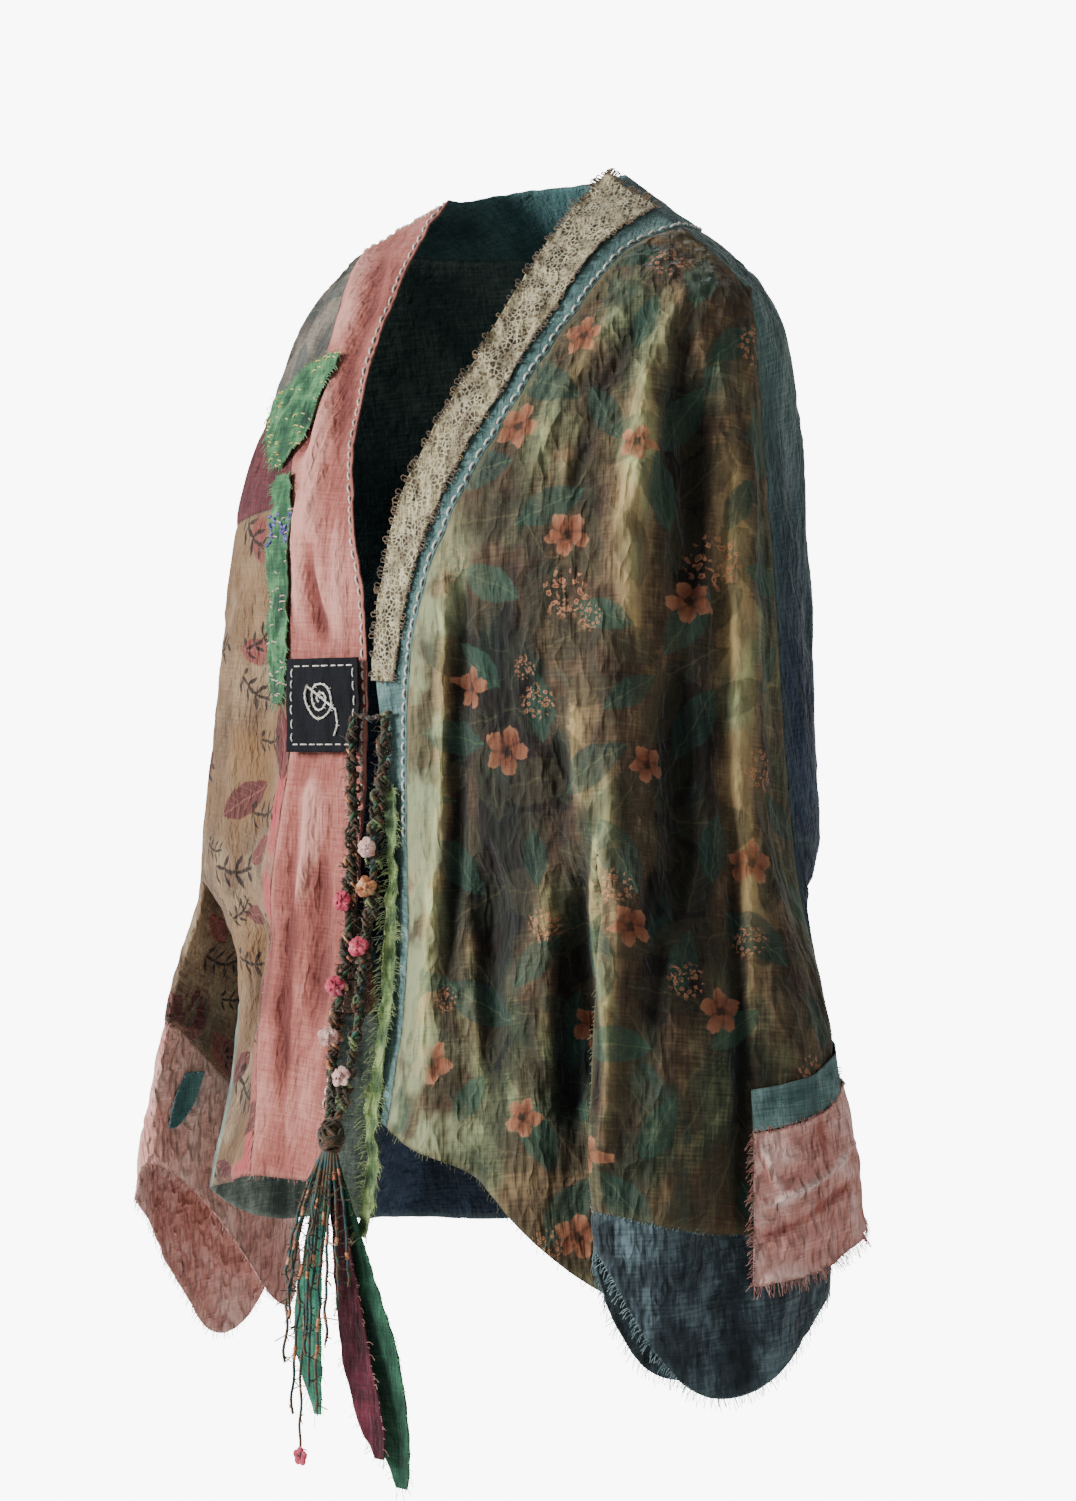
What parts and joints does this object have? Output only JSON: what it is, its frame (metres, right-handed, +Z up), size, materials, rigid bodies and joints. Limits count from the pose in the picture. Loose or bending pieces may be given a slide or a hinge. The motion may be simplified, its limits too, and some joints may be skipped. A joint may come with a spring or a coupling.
{
  "type": "patchwork jacket",
  "caption": "Loose kimono-cut patchwork jacket in worn shape, open front with a lace and band edge, wide sleeves, patched cuffs and a knotted yarn closure with torn tails",
  "frame": {"origin": "inside the neck, level with the points where the shoulders carry the garment", "axes": "+Z up, the garment's front faces -Y, the wearer's left side is +X"},
  "size_m": [0.6244, 0.3525, 0.864],
  "materials": {
    "olive_print": "olive and brown blotchy printed cloth with orange flowers",
    "denim_band": "teal blue woven band with a light running stitch",
    "slate_cuff": "washed slate blue woven cuff",
    "navy_cloth": "navy woven cloth",
    "slate_back": "slate teal woven cloth, turning navy lower down",
    "teal_neck": "dark teal woven cloth",
    "pink_linen": "salmon pink linen with slubs",
    "grey_print": "grey brown printed cloth",
    "burgundy_cloth": "burgundy woven cloth",
    "tan_print": "tan cloth printed with dark twigs and burgundy leaves",
    "grey_green_cloth": "grey green woven cloth",
    "lace": "mottled cream and brown lace strip",
    "yellow_green_ribbon": "frayed yellow green ribbon",
    "green_scrap": "bright green scrap with hand stitches",
    "navy_patch": "navy square with a light stitched border",
    "cream_cord": "cream couched cord",
    "yarn": "twisted brown, green and teal yarn",
    "thread_flower": "small flowers of pink, orange and pale thread",
    "green_strip": "torn green strip",
    "dark_green_strip": "torn dark green strip"
  },
  "bodies": {
    "root": {"left_front": "olive_print", "left_band": "denim_band", "left_cuff": "slate_cuff", "left_sleeve_back": "navy_cloth", "back": "slate_back", "neck_band": "teal_neck", "right_band": "pink_linen", "right_shoulder": "grey_print", "right_burgundy": "burgundy_cloth", "right_front": "tan_print", "right_gore": "grey_green_cloth", "right_sleeve_back": "slate_back", "right_cuff": "pink_linen", "lace_strip": "lace", "opening_ribbon": "yellow_green_ribbon", "cuff_band": "denim_band", "cuff_patch": "pink_linen", "green_leaf": "green_scrap", "green_strip": "green_scrap", "square_patch": "navy_patch", "spiral_cord": "cream_cord", "cuff_gusset": "teal_neck", "closure_loop": "yarn", "yarn_cord_left": "yarn", "yarn_cord_right": "yarn", "rosette_1": "thread_flower", "rosette_2": "thread_flower", "rosette_3": "thread_flower", "rosette_4": "thread_flower", "rosette_5": "thread_flower", "rosette_6": "thread_flower", "rosette_7": "thread_flower", "tassel": "yarn", "tail_green": "green_strip", "tail_burgundy": "burgundy_cloth", "tail_dark_green": "dark_green_strip"}
  },
  "joints": []
}
